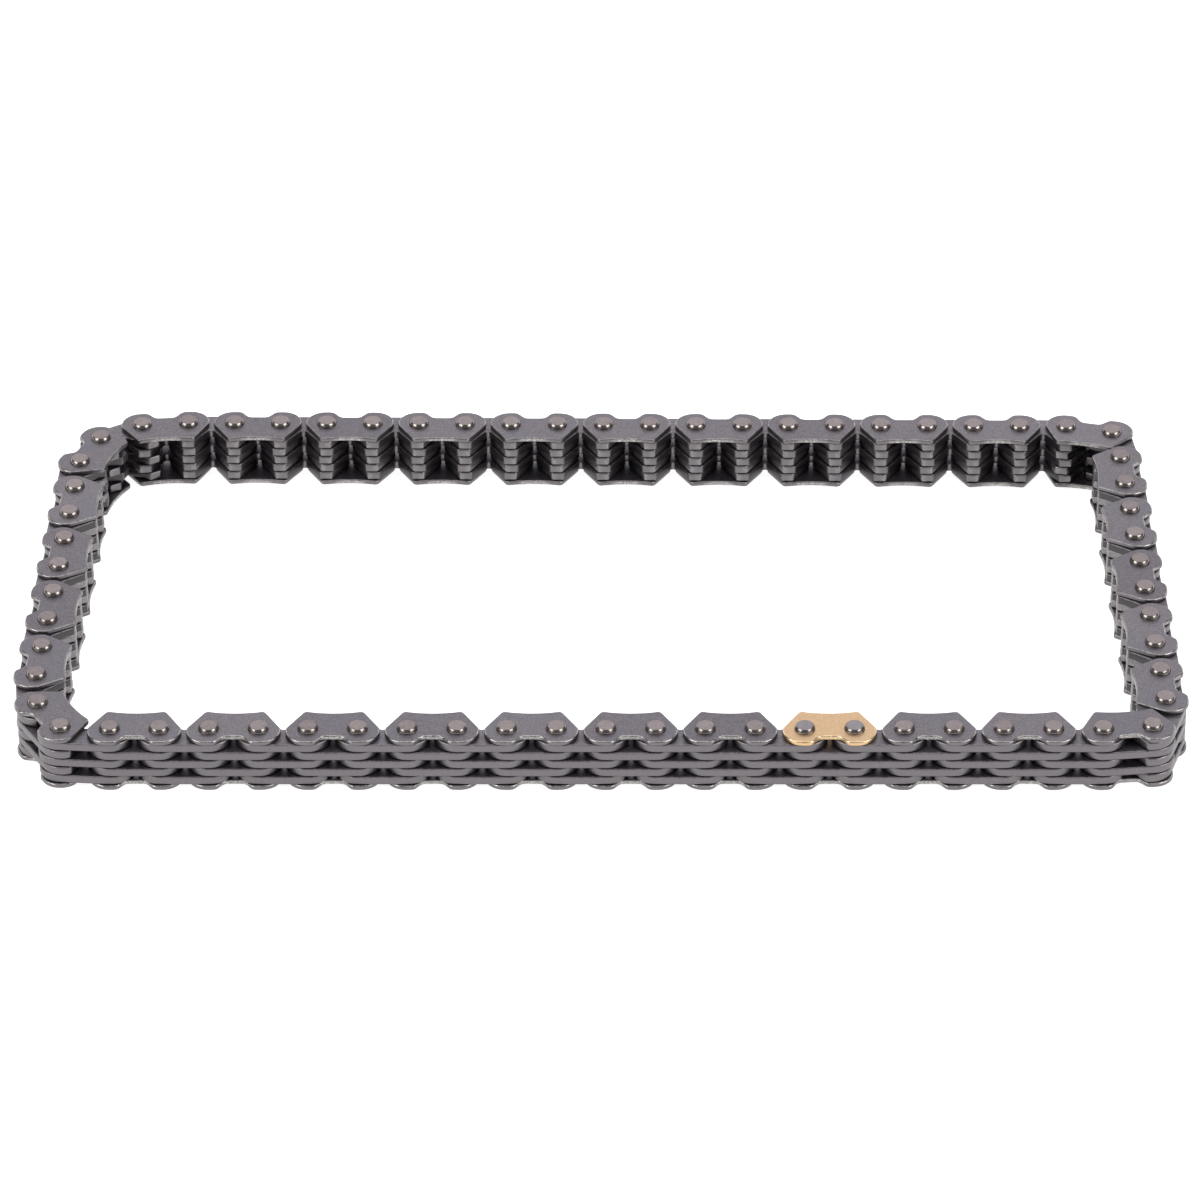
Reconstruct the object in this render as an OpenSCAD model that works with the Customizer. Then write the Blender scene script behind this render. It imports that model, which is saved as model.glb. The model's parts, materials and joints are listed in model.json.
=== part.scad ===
// Silent timing chain for an oil pump drive, an endless loop of 66 links.
// Toothed link plates and smooth guide plates are stacked on round pins.
// The loop lies flat on its pin ends, with every pin upright and all teeth
// pointing into the loop. The origin is under the middle of the loop.

/* [Chain] */
// Distance between two neighbouring pins
pitch = 6.35; // [6:0.05:7]

/* [Pins] */
// Diameter of a pin
pin_d = 2.7; // [2.2:0.1:3]
// How far a pin stands out of each guide plate
pin_standout = 0.6; // [0.3:0.05:1.2]
// Length of the taper on each pin end
pin_chamfer_l = 0.45; // [0.1:0.05:1]
// Depth of the taper on each pin end, measured inwards from the side
pin_chamfer_d = 0.35; // [0.05:0.01:0.4]

/* [Plates] */
// Thickness of a toothed link plate
plate_t = 1.2; // [0.8:0.05:1.5]
// Thickness of a guide plate
guide_t = 0.6; // [0.4:0.05:1]
// Gap between two plates that lie on each other
layer_gap = 0.06; // [0.03:0.01:0.15]
// Angle of a tooth's outer flank, measured from the tooth's height
flank_a = 31; // [27:0.5:34]

/* [Toothed link plates] */
// Gap between the end circles of neighbouring link plates in one layer
link_end_gap = 0.3; // [0.3:0.05:1]
// Radius of a link plate's round ends
link_end_r = 3; // [2.5:0.05:3.1]
// Depth of a link plate's back, from the pin centres
link_back_h = 2.75; // [2.3:0.05:2.9]
// Distance of a tooth's outer flank from the pin centre
link_flank_d = 2.45; // [2.2:0.05:2.55]
// Height of a tooth tip above the pin centres
tip_h = 3.6; // [3:0.05:3.7]
// Width of the flat on a tooth tip
tip_w = 1.5; // [0.8:0.05:1.6]
// Radius of a tooth tip's corners
tip_r = 0.2; // [0.1:0.05:0.3]
// Height of the crotch between the teeth above the pin centres
crotch_h = 0.75; // [0.5:0.05:1.2]
// Radius of the crotch
crotch_r = 0.45; // [0.3:0.05:0.6]

/* [Guide plates] */
// Gap between the end circles of neighbouring guide plates
guide_end_gap = 0.62; // [0.5:0.02:1.2]
// Radius of a guide plate's round ends
guide_end_r = 2.64; // [2.4:0.02:2.8]
// Depth of a guide plate's two bosses on the back, from the pin centres
guide_boss_h = 2.99; // [2.7:0.01:3.1]
// Distance of a guide plate's flank from the pin centre
guide_flank_d = 2.53; // [2.4:0.01:2.55]
// Height of a guide plate's corners above the pin centres
guide_h = 3.87; // [3.5:0.01:3.95]
// Radius of a guide plate's corners
guide_r = 0.6; // [0.3:0.05:0.7]
// Depth of the hollow in the edge between a guide plate's corners
guide_hollow = 0.38; // [0.1:0.02:0.6]
// Depth of the waist between the bosses, from the pin centres
guide_waist_h = 1.64; // [1.45:0.01:2]
// Width of the waist where its sides start
guide_waist_w = 2.58; // [2.2:0.02:2.8]
// Angle at which the waist's sides slope down to the bosses
guide_slope_a = 52; // [48:1:60]
// How far the waist's and the bosses' corners are cut back
guide_corner_c = 0.3; // [0.1:0.05:0.4]

/* [Clearances] */
// Gap round a pin in the plates that it is fixed in
pin_seat_gap = 0.02; // [0.01:0.01:0.03]
// Gap round a pin in the plates that turn on it
hinge_gap = 0.05; // [0.03:0.01:0.1]
// Gap round the pin at the loop's open pivot
open_gap = 0.25; // [0.2:0.01:0.35]

/* [Lie of the loop] */
// Heading of the straight back row
back_a = -1.5; // [-2:0.5:-1]
// Heading of the straight right side
right_a = -88.5; // [-89.5:0.5:-87.5]
// Heading of the link that ends the back row
back_end_a = -14; // [-16:0.5:-12]
// Heading of the link that starts the right side
right_start_a = -84; // [-85:0.5:-82]
// Heading of the link that ends the right side
right_end_a = -109.5; // [-112:0.5:-108]
// Heading of the link that starts the front row
front_start_a = -175; // [-177:0.5:-173]
// Heading of the link that ends the front row
front_end_a = -185; // [-187:0.5:-183]
// Heading of the first link of the left side
left_start_a = -239; // [-242:0.5:-238]
// Heading of the second link of the left side
left_second_a = -264.5; // [-266:0.5:-262]
// Heading of the first of three links that round the top left corner
corner_first_a = -293; // [-295:0.5:-290]
// Heading of the second of three links that round the top left corner
corner_second_a = -330; // [-332:0.5:-328]
// Heading of the third of three links that round the top left corner
corner_third_a = 4; // [2:0.5:6]

/* [Hidden] */
// Links are numbered clockwise from the left end of the back row, seen from above.
// Link k joins pin k to pin k + 1. Even links have the guide plates.
link_count = 66;
strand_first = 38;  // first link of the front strand, which carries the timing mark
strand_last = 48;   // last link of the front strand
open_link = 9;      // the link whose far pin is the open pivot
STRAND_NODES = ["timing_mark_guide_plate", "strand_guide_plates", "strand_middle_plates",
                "strand_inner_plates", "strand_pins"];
FREE_LINKS = [for (k = [0 : link_count - 1]) if (k < strand_first || k > strand_last) k];

// Straight runs whose headings close the loop
front_run = [33 : 52];
front_run_links = 20;
left_run = [56 : 63];
left_run_links = 8;

STEEL = [0.52, 0.52, 0.55];
GUIDE_STEEL = [0.56, 0.56, 0.6];
PIN_STEEL = [0.64, 0.6, 0.58];
GOLD = [0.86, 0.73, 0.52];
FINE = 64;

layer_z = plate_t + layer_gap;
lower_guide_z = pin_standout;
first_plate_z = lower_guide_z + guide_t + layer_gap;
INNER_LAYERS = [0, 2, 4];
MIDDLE_LAYERS = [1, 3];
upper_guide_z = first_plate_z + 5 * layer_z;
crotch_meet = 0.97; // share of the crotch radius at which the inner flanks pass its centre
pin_l = upper_guide_z + guide_t + pin_standout;

function two_digits(k) = k < 10 ? str("0", k) : str(k);
function is_guide_link(k) = k % 2 == 0;
function link_name(k) = str(is_guide_link(k) ? "guide_link_" : "inner_link_", two_digits(k));

// Heading of each link outside the two closing runs
function set_heading(k) =
    k == 0 ? corner_third_a :
    k < 20 ? back_a :
    k == 20 ? back_end_a :
    k == 21 ? right_start_a :
    k < 31 ? right_a :
    k == 31 ? right_end_a :
    k == 32 ? front_start_a :
    k == 53 ? front_end_a :
    k == 54 ? left_start_a :
    k == 55 ? left_second_a :
    k == 64 ? corner_first_a : corner_second_a;
function in_run(k) = (k >= front_run[0] && k <= front_run[2]) || (k >= left_run[0] && k <= left_run[2]);

// The rest of the loop leaves a gap, which the two runs span as two sides of a triangle
SET_STEPS = [for (k = [0 : link_count - 1]) if (!in_run(k)) [cos(set_heading(k)), sin(set_heading(k))]];
span_v = -[for (s = SET_STEPS) 1] * SET_STEPS;
span = norm(span_v);
span_a = atan2(span_v[1], span_v[0]);
function corner_angle(side, other) = acos((span ^ 2 + side ^ 2 - other ^ 2) / (2 * span * side));
front_a = span_a + corner_angle(front_run_links, left_run_links);
left_a = span_a - corner_angle(left_run_links, front_run_links);

function heading(k) =
    k >= front_run[0] && k <= front_run[2] ? front_a :
    k >= left_run[0] && k <= left_run[2] ? left_a : set_heading(k);
function step(k) = pitch * [cos(heading(k)), sin(heading(k))];
function walk(k, at) = k == link_count ? [] : concat([at], walk(k + 1, at + step(k)));
RAW_PINS = walk(0, [0, 0]);
low = [for (i = [0, 1]) min([for (q = RAW_PINS) q[i]])];
high = [for (i = [0, 1]) max([for (q = RAW_PINS) q[i]])];
PINS = [for (q = RAW_PINS) q - (low + high) / 2];

// Centre of a plate's round end
function end_centre(end_gap, back_h, end_r) = [pitch - end_gap / 2 - end_r, end_r - back_h];

// Position along a plate of its flank, at a height above the pin centres and a distance inside
function flank_x(flank_d, h, inside) = pitch / 2 + (flank_d - inside - h * sin(flank_a)) / cos(flank_a);

// Point of the flank that is nearest to a point c
flank_out = [cos(flank_a), sin(flank_a)];
function flank_foot(flank_d, c) = c + (flank_d - flank_out * (c - [pitch / 2, 0])) * flank_out;

// Centre of a rounded corner between the flank and a top at height h
function corner_centre(flank_d, h, r) = [flank_x(flank_d, h - r, r), h - r];

// Point on a circle
function on_circle(centre, r, a) = centre + r * [cos(a), sin(a)];

// Points followed by their mirror images in reverse order
function both_sides(points) =
    concat(points, [for (i = [len(points) - 1 : -1 : 0]) [-points[i][0], points[i][1]]]);

// Outline that both flanks allow, down past the back of the plate
module flank_limits(flank_d, h, back_h) {
    polygon(both_sides([[flank_x(flank_d, -2 * back_h, 0), -2 * back_h], [flank_x(flank_d, h, 0), h]]));
}

// Outer half of the round end on both sides
module round_ends(centre, r) {
    for (side = [-1, 1]) translate([side * centre[0], centre[1]]) intersection() {
        circle(r = r, $fn = FINE);
        translate([side * r, 0]) square([2 * r, 4 * r], center = true);
    }
}

// Same circle on both sides
module round_corners(centre, r) {
    for (side = [-1, 1]) translate([side * centre[0], centre[1]]) circle(r = r, $fn = FINE);
}

// Toothed plate outline, teeth towards +Y
module link_outline() {
    end = end_centre(link_end_gap, link_back_h, link_end_r);
    tip = corner_centre(link_flank_d, tip_h, tip_r);
    tip_inner = [tip[0] - tip_w, tip_h];
    crotch = [0, crotch_h + crotch_r];
    to_tip = tip_inner - crotch;
    meet_a = atan2(to_tip[1], to_tip[0]) - acos(crotch_meet * crotch_r / norm(to_tip));
    difference() {
        intersection() {
            union() {
                round_ends(end, link_end_r);
                round_corners(tip, tip_r);
                polygon(both_sides([
                    [end[0], -link_back_h], flank_foot(link_flank_d, end),
                    on_circle(tip, tip_r, flank_a), [tip[0], tip_h], tip_inner,
                    on_circle(crotch, crotch_meet * crotch_r, meet_a)]));
            }
            flank_limits(link_flank_d, tip_h, link_back_h);
        }
        translate(crotch) circle(r = crotch_r, $fn = FINE);
    }
}

// Smooth guide plate outline, hollow edge towards +Y
module guide_outline() {
    end = end_centre(guide_end_gap, guide_boss_h, guide_end_r);
    corner = corner_centre(guide_flank_d, guide_h, guide_r);
    hollow_r = (corner[0] ^ 2 + guide_hollow ^ 2) / (2 * guide_hollow);
    waist = [guide_waist_w / 2, -guide_waist_h];
    boss = [waist[0] + (guide_boss_h - guide_waist_h) / tan(guide_slope_a), -guide_boss_h];
    down = guide_corner_c * [cos(guide_slope_a), -sin(guide_slope_a)];
    along = [guide_corner_c, 0];
    difference() {
        intersection() {
            union() {
                round_ends(end, guide_end_r);
                round_corners(corner, guide_r);
                polygon(both_sides([
                    waist - along, waist + down, boss - down, boss + along,
                    [end[0], -guide_boss_h], flank_foot(guide_flank_d, end),
                    on_circle(corner, guide_r, flank_a), [corner[0], guide_h]]));
            }
            flank_limits(guide_flank_d, guide_h, guide_boss_h);
        }
        translate([0, guide_h - guide_hollow + hollow_r]) circle(r = hollow_r, $fn = 4 * FINE);
    }
}

// Moves a piece from its own frame to the middle of link k, with +Y into the loop
module at_link(k) {
    middle = (PINS[k] + PINS[(k + 1) % link_count]) / 2;
    translate([middle[0], middle[1], 0]) rotate([0, 0, heading(k)]) mirror([0, 1, 0]) children();
}

// Bores for both pins of a plate, each with its own gap
module bores(near_gap, far_gap, height) {
    for (end = [[-1, near_gap], [1, far_gap]])
        translate([end[0] * pitch / 2, 0, -height])
            cylinder(r = pin_d / 2 + end[1], h = 3 * height, $fn = FINE);
}

// Guide plate at height z, fixed on its pins
module guide_plate(k, z) {
    at_link(k) translate([0, 0, z]) difference() {
        linear_extrude(height = guide_t) guide_outline();
        bores(pin_seat_gap, pin_seat_gap, guide_t);
    }
}

// Toothed plate in one layer of the stack
module link_plate(k, layer, near_gap, far_gap) {
    at_link(k) translate([0, 0, first_plate_z + layer * layer_z]) difference() {
        linear_extrude(height = plate_t) link_outline();
        bores(near_gap, far_gap, plate_t);
    }
}

// Two toothed plates between the guide plates, fixed on the pins
module middle_plates(k) {
    for (layer = MIDDLE_LAYERS) link_plate(k, layer, pin_seat_gap, pin_seat_gap);
}

// Three toothed plates of an inner link, free to turn on the pins
module inner_plates(k) {
    for (layer = INNER_LAYERS) link_plate(k, layer, hinge_gap, k == open_link ? open_gap : hinge_gap);
}

// Round pin with tapered ends
module pin(k) {
    r = pin_d / 2;
    face_r = r - pin_chamfer_d;
    at = PINS[k % link_count];
    translate([at[0], at[1], 0]) rotate_extrude($fn = FINE)
        polygon([[0, 0], [face_r, 0], [r, pin_chamfer_l], [r, pin_l - pin_chamfer_l], [face_r, pin_l], [0, pin_l]]);
}

// One guide link: two guide plates, two middle plates and its two pins
module guide_link(k) {
    color(GUIDE_STEEL) guide_plate(k, lower_guide_z);
    color(GUIDE_STEEL) guide_plate(k, upper_guide_z);
    color(STEEL) middle_plates(k);
    color(PIN_STEEL) pin(k);
    color(PIN_STEEL) pin(k + 1);
}

// One inner link: three plates
module inner_link(k) {
    color(STEEL) inner_plates(k);
}

module free_link(k) {
    if (is_guide_link(k)) guide_link(k);
    else inner_link(k);
}

// Upper guide plate that carries the timing mark colour
module timing_mark_guide_plate() {
    color(GOLD) guide_plate(strand_first, upper_guide_z);
}

module strand_guide_plates() {
    color(GUIDE_STEEL) guide_plate(strand_first, lower_guide_z);
    for (k = [strand_first + 2 : 2 : strand_last], z = [lower_guide_z, upper_guide_z])
        color(GUIDE_STEEL) guide_plate(k, z);
}

module strand_middle_plates() {
    for (k = [strand_first : 2 : strand_last]) color(STEEL) middle_plates(k);
}

module strand_inner_plates() {
    for (k = [strand_first + 1 : 2 : strand_last]) color(STEEL) inner_plates(k);
}

module strand_pins() {
    for (k = [strand_first : strand_last + 1]) color(PIN_STEEL) pin(k);
}

timing_mark_guide_plate();
strand_guide_plates();
strand_middle_plates();
strand_inner_plates();
strand_pins();
for (k = FREE_LINKS)
    free_link(k);
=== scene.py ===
import json
import math

import bpy
import numpy as np
from mathutils import Matrix, Vector


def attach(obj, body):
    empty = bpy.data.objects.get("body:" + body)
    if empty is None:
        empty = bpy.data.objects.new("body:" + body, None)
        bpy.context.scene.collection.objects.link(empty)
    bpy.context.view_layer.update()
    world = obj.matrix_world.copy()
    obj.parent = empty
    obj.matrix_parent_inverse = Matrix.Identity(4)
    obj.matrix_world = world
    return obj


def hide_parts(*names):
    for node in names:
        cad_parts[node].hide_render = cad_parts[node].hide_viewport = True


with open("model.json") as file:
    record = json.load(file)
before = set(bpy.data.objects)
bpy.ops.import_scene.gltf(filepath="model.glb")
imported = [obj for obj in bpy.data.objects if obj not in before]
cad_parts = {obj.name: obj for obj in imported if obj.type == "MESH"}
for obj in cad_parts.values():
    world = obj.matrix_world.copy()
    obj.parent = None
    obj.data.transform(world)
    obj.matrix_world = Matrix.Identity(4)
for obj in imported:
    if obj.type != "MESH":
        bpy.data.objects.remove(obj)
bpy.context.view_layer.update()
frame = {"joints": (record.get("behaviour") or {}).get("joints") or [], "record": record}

MM = 0.001

# Sizes of the chain in millimetres, the same as in the part's source
PITCH = 6.35
PIN_R = 1.35
PIN_STANDOUT = 0.6
PLATE_T = 1.2
GUIDE_T = 0.6
LAYER_GAP = 0.06
FLANK = math.radians(31)
LINK_END_GAP, LINK_END_R, LINK_BACK_H, LINK_FLANK_D = 0.3, 3.0, 2.75, 2.45
TIP_H, TIP_W, TIP_R = 3.6, 1.5, 0.2
CROTCH_H, CROTCH_R, CROTCH_MEET = 0.75, 0.45, 0.97
GUIDE_END_GAP, GUIDE_END_R, GUIDE_BOSS_H, GUIDE_FLANK_D = 0.62, 2.64, 2.99, 2.53
GUIDE_H, GUIDE_R, GUIDE_HOLLOW = 3.87, 0.6, 0.38
WAIST_H, WAIST_W, SLOPE = 1.64, 2.58, math.radians(52)
WAIST_R, BOSS_R = 0.9, 1.05           # rounding of the waist's and the bosses' corners

LAYER = PLATE_T + LAYER_GAP
LOWER_GUIDE_Z = PIN_STANDOUT
FIRST_PLATE_Z = LOWER_GUIDE_Z + GUIDE_T + LAYER_GAP
UPPER_GUIDE_Z = FIRST_PLATE_Z + 5 * LAYER
PIN_L = UPPER_GUIDE_Z + GUIDE_T + PIN_STANDOUT
INNER_LAYERS, MIDDLE_LAYERS = (0, 2, 4), (1, 3)

# Rounding of the tumbled edges and the number of points in an outline
LINK_EDGE_R, LINK_POINTS, LINK_STEPS = (0.2, 0.16), 64, 3
GUIDE_EDGE_R, GUIDE_POINTS, GUIDE_STEPS = (0.08, 0.2), 96, 4
LINK_SOFTEN, GUIDE_SOFTEN = 0.13, 0.12

# Profile of a pin's rim: radius, and height from the end face
PIN_RIM = np.array([(1.0, 0.0), (1.07, 0.015), (1.11, 0.05), (1.15, 0.11), (1.21, 0.2),
                    (1.28, 0.33), (PIN_R, 0.5)])
PIN_POINTS = 32

# Where a plate's sides get a broken band, painted light and painted shade, in millimetres from its
# middle along the plate and from the pin line up towards the teeth
BROKEN_TO, BROKEN_FADE = 2.1, 0.6          # middle of a guide plate's sides
OUTER_FROM, OUTER_FADE, OUTER_RISE = 3.1, 0.5, 1.5      # outer flanks of the teeth, where light is painted on
FLANK_SHADE_TO, FLANK_SHADE_FADE, FLANK_SHADE_FROM_H, FLANK_SHADE_RISE = 3.2, 0.8, 0.2, 0.8     # inner flanks of the teeth, darkened by painted shade
TIP_NORMAL, TIP_FADE = 0.94, 0.2           # a side this square to the teeth is a tip and gets no painted shade

# How strongly: the most painted light on the outer flanks and painted shade on the inner flanks,
# and how much less of the wear and painted highlight than a boss the upper edges of toothed plates
# and of a guide plate's hollow side get
OUTER_PAINTED_LIGHT, FLANK_SHADE_MOST = 0.3, 0.75
HIGHLIGHT_SHARE_TOOTHED, HIGHLIGHT_SHARE_HOLLOW = 0.4, 0.5

LINKS = 66
STRAND = range(38, 49)
TIMING_LINK = 38
OPEN_PIN = 10


# Where the pins stand, from the frame's own hinges
def pin_places():
    """The hinges give most pins. The straight front strand shares its length evenly among its
    pins, and the open pivot lies one step past the last two pins of the back row."""
    at = {int(j["name"].split("_")[1]): complex(*j["pos_m"][:2]) / MM for j in frame["joints"]}
    first, last = STRAND[0], STRAND[-1] + 1
    for pin in range(first + 1, last):
        at[pin] = at[first] + (at[last] - at[first]) * (pin - first) / (last - first)
    at[OPEN_PIN] = 2 * at[OPEN_PIN + 1] - at[OPEN_PIN + 2]
    return np.array([at[k] for k in range(LINKS)])


PINS = pin_places()


# Outlines, as complex numbers: along the plate, and up towards the teeth
def arc(centre, radius, start, end, count):
    """Points on a circle: centre + radius * e^(i a), with a evenly from start to end."""
    return centre + radius * np.exp(1j * np.linspace(start, end, count))


def line(start, end, count):
    """Evenly spaced points from start to end."""
    return start + (end - start) * np.linspace(0, 1, count)


def flank_x(flank_d, height, inside=0.0):
    """The flank leans by FLANK and passes the pin's centre at the distance flank_d."""
    return PITCH / 2 + (flank_d - inside - height * math.sin(FLANK)) / math.cos(FLANK)


def corner(flank_d, height, radius):
    """Centre of the rounded corner between the flank and a top at this height."""
    return complex(flank_x(flank_d, height - radius, radius), height - radius)


def round_end(end_gap, back_h, end_r, flank_d):
    """The end circle from the back up to where the flank cuts it."""
    centre = complex(PITCH - end_gap / 2 - end_r, end_r - back_h)
    off = centre - PITCH / 2
    depth = flank_d - off.real * math.cos(FLANK) - off.imag * math.sin(FLANK)
    return arc(centre, end_r, -math.pi / 2, FLANK - math.acos(depth / end_r), count=60)


def fillet(before, at, after, radius, count=16):
    """A circle that touches both lines which meet at a point, from one line to the other."""
    u, v = (before - at) / abs(before - at), (after - at) / abs(after - at)
    half = abs(np.angle(u / v)) / 2
    reach = radius / math.tan(half)
    centre = at + (u + v) / abs(u + v) * radius / math.sin(half)
    start, end = at + u * reach - centre, at + v * reach - centre
    turn = np.angle(end / start)
    return centre + start * np.exp(1j * np.linspace(0, 1, count) * turn)


def both_sides(right):
    """A right half from the middle of the back to the middle of the tooth side, and its mirror."""
    return np.concatenate([right, -np.conj(right[::-1])])


def link_outline():
    """Straight back, round end, leaning flank, tooth tip, inner flank and round crotch."""
    end = round_end(LINK_END_GAP, LINK_BACK_H, LINK_END_R, LINK_FLANK_D)
    tip = corner(LINK_FLANK_D, TIP_H, TIP_R)
    crotch = complex(0, CROTCH_H + CROTCH_R)
    inner = complex(tip.real - TIP_W, TIP_H)
    to_tip = inner - crotch
    touch = np.angle(to_tip) - math.acos(CROTCH_MEET * CROTCH_R / abs(to_tip))
    right = np.concatenate([
        line(complex(0, -LINK_BACK_H), end[0], count=40), end,
        arc(tip, TIP_R, FLANK, math.pi / 2, count=12),
        line(inner, crotch + CROTCH_R * np.exp(1j * touch), count=40),
        arc(crotch, CROTCH_R, touch, -math.pi / 2, count=20)])
    return both_sides(right)


def guide_outline():
    """Waist, sloping shoulder, boss, round end, leaning flank, rounded corner and hollow edge."""
    end = round_end(GUIDE_END_GAP, GUIDE_BOSS_H, GUIDE_END_R, GUIDE_FLANK_D)
    top = corner(GUIDE_FLANK_D, GUIDE_H, GUIDE_R)
    hollow_r = (top.real ** 2 + GUIDE_HOLLOW ** 2) / (2 * GUIDE_HOLLOW)
    middle, waist = complex(0, -WAIST_H), complex(WAIST_W / 2, -WAIST_H)
    boss = complex(waist.real + (GUIDE_BOSS_H - WAIST_H) / math.tan(SLOPE), -GUIDE_BOSS_H)
    right = np.concatenate([
        [middle], fillet(middle, waist, boss, WAIST_R), fillet(waist, boss, end[0], BOSS_R), end,
        arc(top, GUIDE_R, FLANK, math.pi / 2, count=20),
        arc(complex(0, GUIDE_H - GUIDE_HOLLOW + hollow_r), hollow_r,
            -math.pi / 2 + math.asin(top.real / hollow_r), -math.pi / 2, count=40)])
    return both_sides(right)


def soften(path, spread, samples=1024):
    """Spaces the path evenly, then averages it along its length with a bell curve of this
    spread in millimetres, which rounds every corner a little."""
    loop = np.append(path, path[0])
    length = np.concatenate([[0], np.cumsum(abs(np.diff(loop)))])
    wanted = np.arange(samples) / samples * length[-1]
    even = np.interp(wanted, length, loop.real) + 1j * np.interp(wanted, length, loop.imag)
    waves = np.fft.fftfreq(samples, length[-1] / samples)
    return np.fft.ifft(np.fft.fft(even) * np.exp(-2 * (math.pi * waves * spread) ** 2))


def thin_out(path, count, turn_per_mm=0.35):
    """Keeps count points, closer together where the path turns: evenly spaced in
    turning angle plus turn_per_mm times length."""
    step = np.roll(path, -1) - path
    turn = abs(np.angle(np.roll(step, -1) / step))
    measure = np.concatenate([[0], np.cumsum(turn + turn_per_mm * abs(step))])
    loop = np.append(path, path[0])
    wanted = np.arange(count) / count * measure[-1]
    return np.interp(wanted, measure, loop.real) + 1j * np.interp(wanted, measure, loop.imag)


LINK_PATH = thin_out(soften(link_outline(), LINK_SOFTEN), LINK_POINTS)
GUIDE_PATH = thin_out(soften(guide_outline(), GUIDE_SOFTEN), GUIDE_POINTS)


# Meshes. A part holds its vertices in millimetres, its walls and caps, and values at vertices
def round_edges(thickness, radii, steps):
    """Quarter circles at both edges of a plate: inset from the outline, height, how far the
    point is on the rounding (0 on the flat face, 1 on the side) and 1 at the lower edge."""
    a = np.linspace(0, math.pi / 2, steps + 1)
    out, rise, turn = 1 - np.cos(a), np.sin(a), a / (math.pi / 2)
    low, high = radii
    lower = [(low * (1 - r), low * o, f, 1) for o, r, f in zip(out, rise, turn)]
    upper = [(high * (1 - r), thickness - high * o, f, 0) for o, r, f in zip(out, rise, turn)][::-1]
    return np.array(lower + upper)


def ramp(value, start, length, most=1.0):
    """0 up to start, then value rising by 1 over this length, cut off at most."""
    return np.clip((value - start) / length, 0, most)


def plate(path, thickness, radii, steps, toothed):
    """The outline carried round a profile with rounded edges: each ring is the outline moved
    inwards along its normals. The two flat faces close it. The values mark where the sides are
    broken (the middle of a guide plate), where light is painted on (the outer flanks of the teeth),
    where shade is painted on (the inner flanks and the lower edges), and where the upper edges are
    painted bright, as wear and as a painted highlight."""
    tangent = np.roll(path, -1) - np.roll(path, 1)
    normal = -1j * tangent / abs(tangent)
    profile = round_edges(thickness, radii, steps)
    rings = path[None, :] - profile[:, :1] * normal[None, :]
    count, levels = len(path), len(profile)
    height = np.repeat(profile[:, 1], count)
    flat = rings.ravel()
    verts = np.stack([flat.real, flat.imag, height], 1)
    i = np.arange(count)
    j = (i + 1) % count
    low = np.arange(levels - 1)[:, None] * count
    walls = np.stack([low + i, low + j, low + count + j, low + count + i], 2).reshape(-1, 4)
    top = (levels - 1) * count + i
    rounding, under = np.repeat(profile[:, 2], count), np.repeat(profile[:, 3], count)
    edge = np.sin(math.pi * rounding).clip(0, 1)
    along, up = abs(flat.real), flat.imag
    # Toothed plates get painted light on the outer flanks of the teeth and a smaller share of the
    # painted edge highlight; guide plates get a broken band in the middle of their sides and a
    # smaller share of the highlight on the hollow side
    if toothed:
        broken_and_painted_light = OUTER_PAINTED_LIGHT * ramp(along, OUTER_FROM, OUTER_FADE) * ramp(up, 0, OUTER_RISE)
        highlight_share = HIGHLIGHT_SHARE_TOOTHED
    else:
        broken_and_painted_light = ramp(-along, -BROKEN_TO, BROKEN_FADE)
        highlight_share = np.where(up > 0, HIGHLIGHT_SHARE_HOLLOW, 1.0)
    # Painted shade: on the inner flanks of the teeth, fading out towards the tips, and under the
    # lower edges, where the plates shade each other
    leaning = np.tile(ramp(-normal.imag, -TIP_NORMAL, TIP_FADE), levels)
    inner = ramp(up, FLANK_SHADE_FROM_H, FLANK_SHADE_RISE) * leaning * ramp(-along, -FLANK_SHADE_TO, FLANK_SHADE_FADE, FLANK_SHADE_MOST)
    painted_shade = np.maximum(inner * rounding * toothed, under * np.sqrt(edge))
    return {"verts": verts, "walls": walls, "caps": [i[::-1], top], "side": rounding,
            "wear_and_painted_highlight": edge * (1 - under) * highlight_share, "broken_and_painted_light": broken_and_painted_light, "painted_shade": painted_shade}


def pin_part():
    """A profile turned about the pin's axis: flat ends, rounded rims and a straight side."""
    rim_r, rim_z = PIN_RIM.T
    radius = np.concatenate([rim_r, rim_r[::-1]])
    height = np.concatenate([rim_z, PIN_L - rim_z[::-1]])
    count, levels = PIN_POINTS, len(radius)
    turn = np.exp(1j * np.linspace(0, 2 * math.pi, count, endpoint=False))
    rings = (radius[:, None] * turn[None, :]).ravel()
    verts = np.stack([rings.real, rings.imag, np.repeat(height, count)], 1)
    i = np.arange(count)
    j = (i + 1) % count
    low = np.arange(levels - 1)[:, None] * count
    walls = np.stack([low + i, low + j, low + count + j, low + count + i], 2).reshape(-1, 4)
    side = np.repeat(ramp(radius, rim_r[1], rim_r[3] - rim_r[1]), count)
    nothing = np.zeros(len(side))
    return {"verts": verts, "walls": walls, "caps": [i[::-1], (levels - 1) * count + i],
            "side": side, "wear_and_painted_highlight": nothing, "broken_and_painted_light": nothing, "painted_shade": nothing}


LINK_PLATE = plate(LINK_PATH, PLATE_T, LINK_EDGE_R, LINK_STEPS, True)
GUIDE_PLATE = plate(GUIDE_PATH, GUIDE_T, GUIDE_EDGE_R, GUIDE_STEPS, False)
PIN = pin_part()


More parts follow.
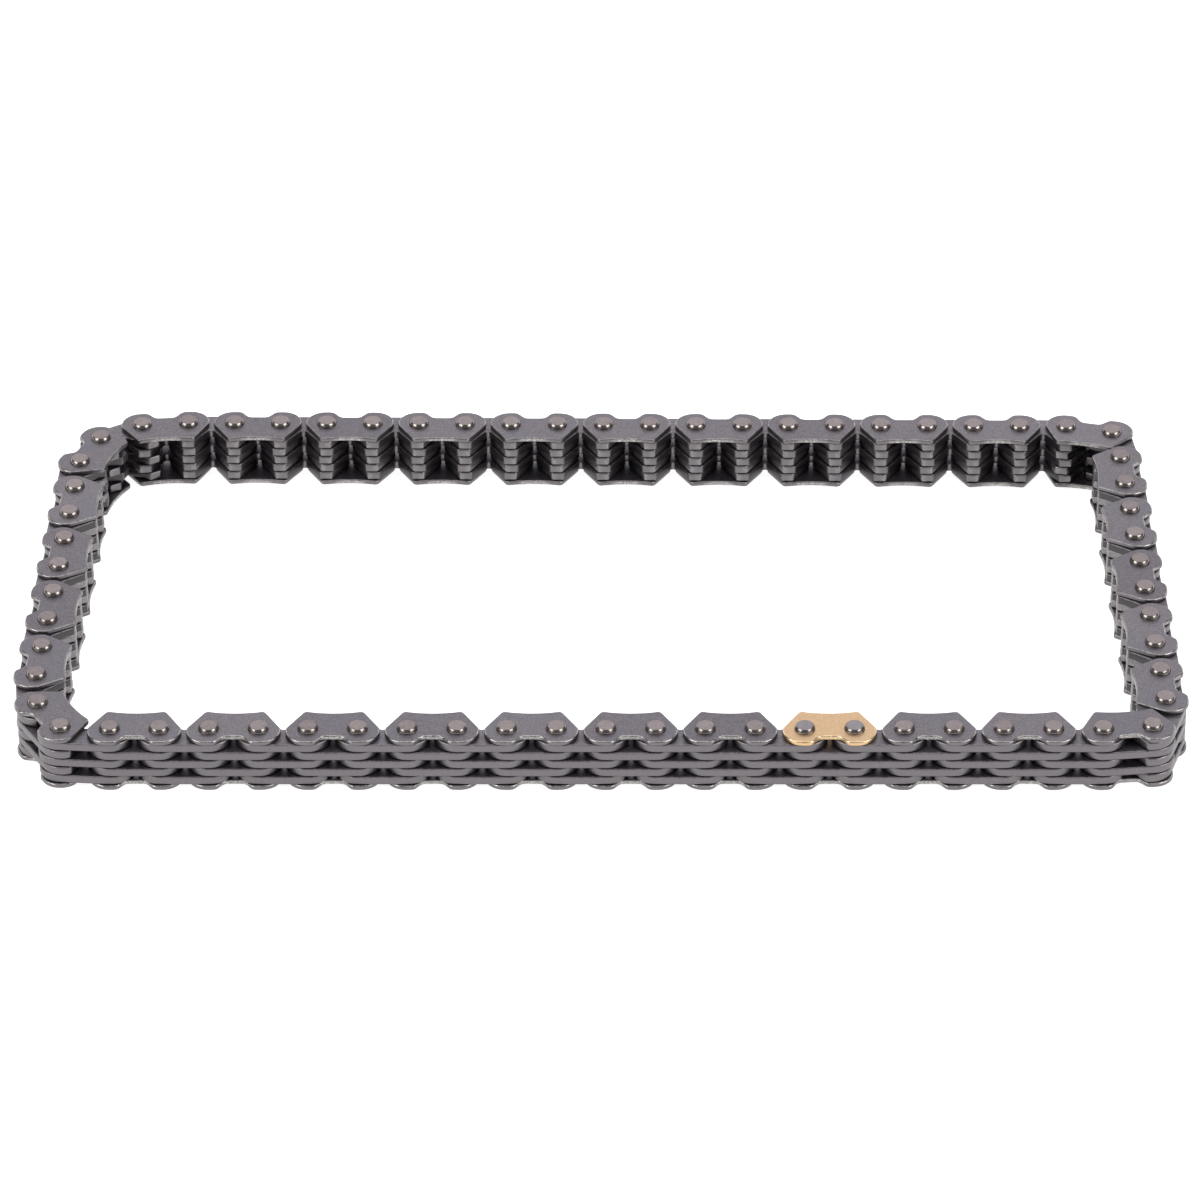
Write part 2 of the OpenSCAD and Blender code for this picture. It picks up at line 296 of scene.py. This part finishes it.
def on_link(part, link, z):
    """Moves a plate to the middle of a link, with its teeth to the right of the direction of
    travel, which is the inside of the loop. The mirror turns the faces, so they are reversed."""
    start, end = PINS[link], PINS[(link + 1) % LINKS]
    along = (end - start) / abs(end - start)
    local = part["verts"][:, 0] - 1j * part["verts"][:, 1]
    placed = (start + end) / 2 + local * along
    verts = np.stack([placed.real, placed.imag, part["verts"][:, 2] + z], 1)
    caps = [cap[::-1] for cap in part["caps"]]
    return dict(part, verts=verts, walls=part["walls"][:, ::-1], caps=caps)


def on_pin(number):
    """Stands a pin on its place."""
    at = PINS[number % LINKS]
    return dict(PIN, verts=PIN["verts"] + [at.real, at.imag, 0])


TONE_WEIGHTS, TONE_SPREAD = (12.9898, 78.233), 43758.5453


def tone_of(*numbers):
    """A fixed shade between 0 and 1 for each plate, from the digits after the point of a sine."""
    return math.sin(sum(n * w for n, w in zip(numbers, TONE_WEIGHTS))) * TONE_SPREAD % 1


def build(name, body, parts, materials, replaced):
    """Joins parts, given as (part, tone, material number), into one piece that rides a body."""
    verts, faces, smooth, slots = [], [], [], []
    values = {"side": [], "wear_and_painted_highlight": [], "broken_and_painted_light": [], "painted_shade": [], "tone": []}
    base = 0
    for part, tone, material in parts:
        count = len(part["verts"])
        verts.append(part["verts"])
        walls = (part["walls"] + base).tolist()
        caps = [(c + base).tolist() for c in part["caps"]]
        faces += walls + caps
        smooth += [True] * len(walls) + [False] * len(caps)
        slots += [material] * (len(walls) + len(caps))
        for key in ("side", "wear_and_painted_highlight", "broken_and_painted_light", "painted_shade"):
            values[key].append(part[key])
        values["tone"].append(np.full(count, tone))
        base += count
    mesh = bpy.data.meshes.new(name)
    mesh.from_pydata(np.concatenate(verts) * MM, [], faces)
    mesh.polygons.foreach_set("use_smooth", smooth)
    mesh.polygons.foreach_set("material_index", slots)
    for key, arrays in values.items():
        mesh.attributes.new(key, "FLOAT", "POINT").data.foreach_set("value", np.concatenate(arrays))
    for material in materials:
        mesh.materials.append(material)
    mesh.update()
    piece = bpy.data.objects.new(name, mesh)
    bpy.context.scene.collection.objects.link(piece)
    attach(piece, body)
    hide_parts(*replaced)


# Shader maths
class Varying:
    """A socket whose value varies over the surface. Arithmetic on it adds Math nodes."""

    def __init__(self, graph, socket):
        self.graph, self.socket = graph, socket

    def math(self, operation, first, second=0.0):
        return self.graph.add("ShaderNodeMath", {"operation": operation}, {0: first, 1: second})

    def __add__(self, other):
        return self.math("ADD", self, other)

    def __sub__(self, other):
        return self.math("SUBTRACT", self, other)

    def __rsub__(self, other):
        return self.math("SUBTRACT", other, self)

    def __mul__(self, other):
        return self.math("MULTIPLY", self, other)

    def clamp(self):
        return self.graph.add("ShaderNodeClamp", {}, {"Value": self})

    __radd__, __rmul__ = __add__, __mul__


class Graph:
    """A material's nodes."""

    def __init__(self, name):
        self.material = bpy.data.materials.new(name)
        self.material.use_nodes = True
        self.tree = self.material.node_tree
        self.tree.nodes.clear()

    def add(self, kind, settings, inputs, output=0):
        """Adds one node: its settings first, then a value or a link for each named socket."""
        node = self.tree.nodes.new(kind)
        for key, value in settings.items():
            setattr(node, key, value)
        for key, value in inputs.items():
            if isinstance(value, Varying):
                self.tree.links.new(value.socket, node.inputs[key])
            else:
                node.inputs[key].default_value = value
        return Varying(self, node.outputs[output]) if len(node.outputs) else None

    def attribute(self, name):
        return self.add("ShaderNodeAttribute", {"attribute_name": name}, {}, "Fac")

    def noise(self, place, scale, detail, roughness):
        """Cloudy noise. The scale counts repeats to the metre."""
        return self.add("ShaderNodeTexNoise", {}, {"Vector": place, "Scale": scale,
                                                   "Detail": detail, "Roughness": roughness})

    def place(self, stretch=(1, 1, 1)):
        """Where a point lies on the piece, in metres, with each direction scaled."""
        here = self.add("ShaderNodeTexCoord", {}, {}, "Object")
        return self.add("ShaderNodeMapping", {}, {"Vector": here, "Scale": stretch})

    def band(self, value, low, high):
        """0 below low, 1 above high, smooth between."""
        return self.add("ShaderNodeMapRange", {"interpolation_type": "SMOOTHSTEP"},
                        {"Value": value, "From Min": low, "From Max": high})

    def mix(self, factor, first, second):
        """First colour at 0, second at 1. The numbers are the node's colour sockets."""
        return self.add("ShaderNodeMix", {"data_type": "RGBA"},
                        {0: factor, 6: first, 7: second}, 2)

    def finish(self, colour, roughness, bump, depth):
        """Metal surface. Heights in bump stand depth metres proud at 1."""
        normal = self.add("ShaderNodeBump", {}, {"Strength": 1.0, "Distance": depth,
                                                 "Height": bump})
        surface = self.add("ShaderNodeBsdfPrincipled", {}, {
            "Base Color": colour, "Roughness": roughness, "Metallic": 1.0, "Normal": normal})
        self.add("ShaderNodeOutputMaterial", {}, {"Surface": surface})
        return self.material


def rgb(red, green, blue):
    """Linear colour from one written as 0 to 255."""
    return tuple(((v / 255 + 0.055) / 1.055) ** 2.4 for v in (red, green, blue)) + (1.0,)


PLATE_BUMP, PIN_BUMP = 0.000012, 0.00001    # metres


def steel(name, face, face_dark, side_colour, painted_shade_colour, broken_and_painted_light_colour, wear_and_painted_highlight_colour, tint):
    """Tumbled plate steel: mottled satin faces, smooth blanked sides with broken stretches, painted
    light on the outer flanks of the teeth, upper edges worn and painted bright as a highlight, and
    painted shade under the edges and between the teeth. Where patterns are added up, the number
    taken off last centres their sum between 0 and 1."""
    g = Graph(name)
    side, wear_and_painted_highlight, broken_and_painted_light, painted_shade, tone = (
        g.attribute(n) for n in ("side", "wear_and_painted_highlight", "broken_and_painted_light", "painted_shade", "tone"))
    here = g.place()
    mottle = g.noise(here, 1100, 5, 0.7)
    grain = g.noise(here, 3800, 3, 0.75)
    patch = g.band(g.noise(here, 160, 2, 0.5), 0.48, 0.70)
    streak = g.noise(g.place((1, 1, 0.15)), 3200, 3, 0.6)
    crumbs = g.band(g.noise(here, 3600, 3, 0.7), 0.46, 0.60)
    shade = (mottle * 1.3 + grain * 2.6 + tone * 0.3 - 1.6).clamp()
    colour = g.mix(shade, face_dark, face)
    colour = g.mix(patch * 0.3, colour, tint)
    colour = g.mix((side * (streak * 0.5 + 0.6)).clamp(), colour, side_colour)
    # Broken band on a guide plate's sides, and painted light on the outer flanks of the teeth
    colour = g.mix(side * broken_and_painted_light * (crumbs * 0.75 + 0.25), colour, broken_and_painted_light_colour)
    # Upper edges: wear and a painted highlight
    colour = g.mix(wear_and_painted_highlight * g.band(mottle + grain * 0.5, 0.50, 0.90), colour, wear_and_painted_highlight_colour)
    # Painted shade under the edges and between the teeth
    colour = g.mix(painted_shade, colour, painted_shade_colour)
    rough = 0.42 + mottle * 0.12 - side * 0.08 - wear_and_painted_highlight * 0.24
    height = grain * 0.6 + mottle * 0.3 + side * (streak * 0.8 + broken_and_painted_light * crumbs * 1.5)
    return g.finish(colour, rough, height, PLATE_BUMP)


def pin_metal(name, end, end_dark, side_colour):
    """Pins: bright ground sides, and satin ends with a slight bloom. The patterns are added up
    as in the plates' steel."""
    g = Graph(name)
    side, tone = g.attribute("side"), g.attribute("tone")
    here = g.place()
    bloom = g.noise(here, 1500, 4, 0.6)
    grain = g.noise(here, 9000, 2, 0.5)
    shade = (bloom * 1.2 + grain * 1.6 + tone * 0.3 - 1.0).clamp()
    colour = g.mix(shade, end_dark, end)
    colour = g.mix(side, colour, side_colour)
    rough = (0.45 + bloom * 0.1) * (1 - side * 0.58)
    height = (grain + bloom * 0.6) * (1 - side * 0.85)
    return g.finish(colour, rough, height, PIN_BUMP)


# Each steel below gets a colour of painted shade, a bright colour for worn upper edges with a
# painted highlight, and a light colour for broken sides and for painted light on the outer flanks
PLATE_STEEL = steel(
    "plate_steel", face=rgb(142, 136, 142), face_dark=rgb(104, 100, 106),
    side_colour=rgb(112, 108, 110), painted_shade_colour=rgb(58, 56, 57),
    broken_and_painted_light_colour=rgb(190, 186, 182), wear_and_painted_highlight_colour=rgb(196, 192, 190), tint=rgb(118, 118, 128))
GOLD = steel(
    "gold_plating", face=rgb(224, 192, 156), face_dark=rgb(196, 164, 130),
    side_colour=rgb(206, 172, 128), painted_shade_colour=rgb(120, 96, 66),
    broken_and_painted_light_colour=rgb(236, 208, 166), wear_and_painted_highlight_colour=rgb(252, 232, 192), tint=rgb(214, 184, 152))
PIN_STEEL = pin_metal(
    "pin_steel", end=rgb(166, 155, 155), end_dark=rgb(128, 118, 120),
    side_colour=rgb(144, 137, 132))
BLUE_PIN_STEEL = pin_metal(
    "blued_pin_steel", end=rgb(166, 160, 164), end_dark=rgb(132, 127, 132),
    side_colour=rgb(144, 137, 132))


# The chain
def plates(link):
    """Toothed plates of a link with their shades: three in an inner link, two in a guide link."""
    layers = INNER_LAYERS if link % 2 else MIDDLE_LAYERS
    return [(on_link(LINK_PLATE, link, FIRST_PLATE_Z + n * LAYER), tone_of(link, n), 0)
            for n in layers]


def guides(link):
    """Lower and upper guide plate of a guide link, with their shades."""
    return [(on_link(GUIDE_PLATE, link, z), tone_of(link, GUIDE_TONE + n), 0)
            for n, z in enumerate((LOWER_GUIDE_Z, UPPER_GUIDE_Z))]


def pins(*numbers, material=0):
    """Pins with their shades, in the material of this number."""
    return [(on_pin(n), tone_of(n, PIN_TONE), material) for n in numbers]


GUIDE_TONE, PIN_TONE = 7, 11          # keep their shades apart from the toothed plates'
BODIES = frame["record"]["behaviour"]["bodies"]
BODY_OF = {node: body for body, nodes in BODIES.items() for node in nodes}

for link in range(LINKS):
    node = f"{'inner' if link % 2 else 'guide'}_link_{link:02d}"
    if node not in BODY_OF:
        continue
    parts = plates(link)
    if link % 2 == 0:
        parts += guides(link) + pins(link, link + 1, material=1)
    build(f"dressed_{node}", BODY_OF[node], parts, [PLATE_STEEL, PIN_STEEL], [node])

ROOT = BODY_OF["strand_pins"]
GUIDE_LINKS = [k for k in STRAND if k % 2 == 0]
INNER_LINKS = [k for k in STRAND if k % 2]
lower_timing, upper_timing = guides(TIMING_LINK)
build("dressed_timing_mark_guide_plate", ROOT, [upper_timing],
      [GOLD], ["timing_mark_guide_plate"])
build("dressed_strand_guide_plates", ROOT,
      [lower_timing] + [p for k in GUIDE_LINKS[1:] for p in guides(k)],
      [PLATE_STEEL], ["strand_guide_plates"])
build("dressed_strand_middle_plates", ROOT, [p for k in GUIDE_LINKS for p in plates(k)],
      [PLATE_STEEL], ["strand_middle_plates"])
build("dressed_strand_inner_plates", ROOT, [p for k in INNER_LINKS for p in plates(k)],
      [PLATE_STEEL], ["strand_inner_plates"])
gold_pins = pins(TIMING_LINK, TIMING_LINK + 1, material=1)
other_pins = pins(*range(TIMING_LINK + 2, STRAND[-1] + 2))
build("dressed_strand_pins", ROOT, gold_pins + other_pins,
      [PIN_STEEL, BLUE_PIN_STEEL], ["strand_pins"])


# Camera, fitted to the pin ends in the photograph
FOCAL_PX, PHOTO_PX, SENSOR_MM = 6111.6, 1200, 36.0
ELEVATION, ROLL = math.radians(34.2148), math.radians(-0.56215)
DISTANCE_MM = 803.65
AIM_X_MM, AIM_Y_MM = 0.286, -7.928    # what it looks at, in the plane of the upper pin ends
CLIP = 0.05, 20                       # metres


def add_camera():
    """Looks down at the aim point from the fitted distance, with the photograph's slight roll."""
    sin, cos = math.sin(ELEVATION), math.cos(ELEVATION)
    right, up, back = Vector((1, 0, 0)), Vector((0, sin, cos)), Vector((0, -cos, sin))
    turned_right = right * math.cos(ROLL) + up * math.sin(ROLL)
    turned_up = up * math.cos(ROLL) - right * math.sin(ROLL)
    place = Vector((AIM_X_MM, AIM_Y_MM, PIN_L)) * MM + back * DISTANCE_MM * MM
    data = bpy.data.cameras.new("camera")
    data.sensor_width = SENSOR_MM
    data.lens = SENSOR_MM * FOCAL_PX / PHOTO_PX
    data.clip_start, data.clip_end = CLIP
    camera = bpy.data.objects.new("camera", data)
    bpy.context.scene.collection.objects.link(camera)
    camera.matrix_world = Matrix((
        (turned_right.x, turned_up.x, back.x, place.x),
        (turned_right.y, turned_up.y, back.y, place.y),
        (turned_right.z, turned_up.z, back.z, place.z),
        (0, 0, 0, 1)))
    bpy.context.scene.camera = camera


FLOOR_HALF = 3.0                      # metres
FLOOR_WHITE, FLOOR_GLOW = 0.8, 0.86


def add_floor():
    """A wide white floor. Camera and mirror rays also see a little glow, so that it is white
    where no shadow falls."""
    g = Graph("floor_white")
    camera, glossy, transmitted = (
        g.add("ShaderNodeLightPath", {}, {}, f"Is {ray} Ray")
        for ray in ("Camera", "Glossy", "Transmission"))
    seen = (camera + glossy + transmitted).clamp()
    matt = g.add("ShaderNodeBsdfDiffuse", {}, {"Color": (FLOOR_WHITE,) * 3 + (1,)})
    glow = g.add("ShaderNodeEmission", {}, {"Color": (1, 1, 1, 1), "Strength": FLOOR_GLOW})
    white = g.add("ShaderNodeAddShader", {}, {0: matt, 1: glow})
    both = g.add("ShaderNodeMixShader", {}, {0: seen, 1: matt, 2: white})
    g.add("ShaderNodeOutputMaterial", {}, {"Surface": both})
    mesh = bpy.data.meshes.new("floor")
    corners = ((-1, -1), (1, -1), (1, 1), (-1, 1))
    mesh.from_pydata([(x * FLOOR_HALF, y * FLOOR_HALF, 0) for x, y in corners], [], [(0, 1, 2, 3)])
    mesh.materials.append(g.material)
    floor = bpy.data.objects.new("floor", mesh)
    bpy.context.scene.collection.objects.link(floor)


def add_lamp(name, place, size, power):
    """A soft box of this size in metres and power in watts, facing the middle of the chain."""
    data = bpy.data.lights.new(name, "AREA")
    data.shape, data.size, data.size_y = "RECTANGLE", size[0], size[1]
    data.energy = power
    lamp = bpy.data.objects.new(name, data)
    bpy.context.scene.collection.objects.link(lamp)
    lamp.location = place
    lamp.rotation_mode = "QUATERNION"
    lamp.rotation_quaternion = (-Vector(place)).to_track_quat("-Z", "Y")


ROOM_COLOUR, ROOM_STRENGTH = (0.97, 0.97, 1.0, 1), 0.22


def add_world():
    """A dim even room. The floor is all that the camera sees behind the chain."""
    world = bpy.data.worlds.new("room")
    bpy.context.scene.world = world
    world.use_nodes = True
    room = world.node_tree.nodes["Background"]
    room.inputs["Color"].default_value = ROOM_COLOUR
    room.inputs["Strength"].default_value = ROOM_STRENGTH


add_camera()
add_floor()
add_world()
add_lamp("back_panel", place=(0.0, 0.75, 0.5), size=(2.0, 0.5), power=4.4)
add_lamp("above", place=(0.0, 0.0, 1.0), size=(0.8, 0.8), power=3.0)
add_lamp("left_front", place=(-0.62, -0.35, 0.40), size=(0.5, 0.3), power=2.2)
add_lamp("right_front", place=(0.62, -0.35, 0.40), size=(0.5, 0.3), power=2.2)

bpy.context.scene.view_settings.view_transform = "Standard"
